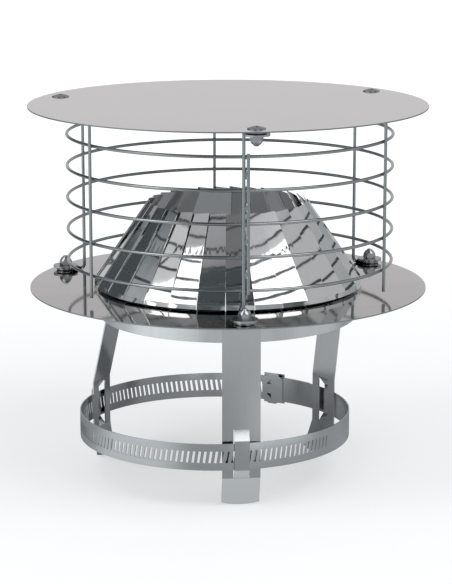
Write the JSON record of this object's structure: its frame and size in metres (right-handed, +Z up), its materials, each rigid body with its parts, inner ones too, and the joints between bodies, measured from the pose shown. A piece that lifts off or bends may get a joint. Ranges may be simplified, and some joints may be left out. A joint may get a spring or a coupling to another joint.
{
  "type": "chimney cap",
  "caption": "Round stainless chimney cap: rain disc over a wire bird guard, a cone of lamellae on a base disc, and legs drawn together by a worm drive clamp.",
  "frame": {"origin": "on the cap's axis, at the level of the leg tips it stands on", "axes": "+Z up along the flue, -Y towards the front leg and post"},
  "size_m": [0.25, 0.25, 0.2389],
  "materials": {
    "mirror_sheet": "bright-annealed stainless sheet",
    "strip_sheet": "bright-annealed stainless strip",
    "leg_strip": "satin stainless strip",
    "clamp_steel": "satin stainless band",
    "guard_wire": "drawn stainless wire",
    "fastener_steel": "stainless fasteners"
  },
  "bodies": {
    "root": {"base_bolt_front": "fastener_steel", "base_bolt_left": "fastener_steel", "base_bolt_right": "fastener_steel", "base_disc": "mirror_sheet", "base_nut_front": "fastener_steel", "base_nut_left": "fastener_steel", "base_nut_right": "fastener_steel", "base_washer_front": "fastener_steel", "base_washer_left": "fastener_steel", "base_washer_right": "fastener_steel", "clamp_band": "clamp_steel", "clamp_housing": "clamp_steel", "clamp_screw": "clamp_steel", "guard_joint_wire": "guard_wire", "guard_post_front": "guard_wire", "guard_post_left": "guard_wire", "guard_post_right": "guard_wire", "guard_ring_1": "guard_wire", "guard_ring_2": "guard_wire", "guard_ring_3": "guard_wire", "guard_ring_4": "guard_wire", "guard_ring_5": "guard_wire", "guard_stay_back": "guard_wire", "guard_stay_left": "guard_wire", "guard_stay_right": "guard_wire", "lamella_cone": "strip_sheet", "leg_front": "leg_strip", "leg_left": "leg_strip", "leg_right": "leg_strip", "rain_disc": "mirror_sheet", "top_bolt_front": "fastener_steel", "top_bolt_left": "fastener_steel", "top_bolt_right": "fastener_steel", "top_nut_front": "fastener_steel", "top_nut_left": "fastener_steel", "top_nut_right": "fastener_steel", "top_washer_front": "fastener_steel", "top_washer_left": "fastener_steel", "top_washer_right": "fastener_steel"}
  },
  "joints": []
}
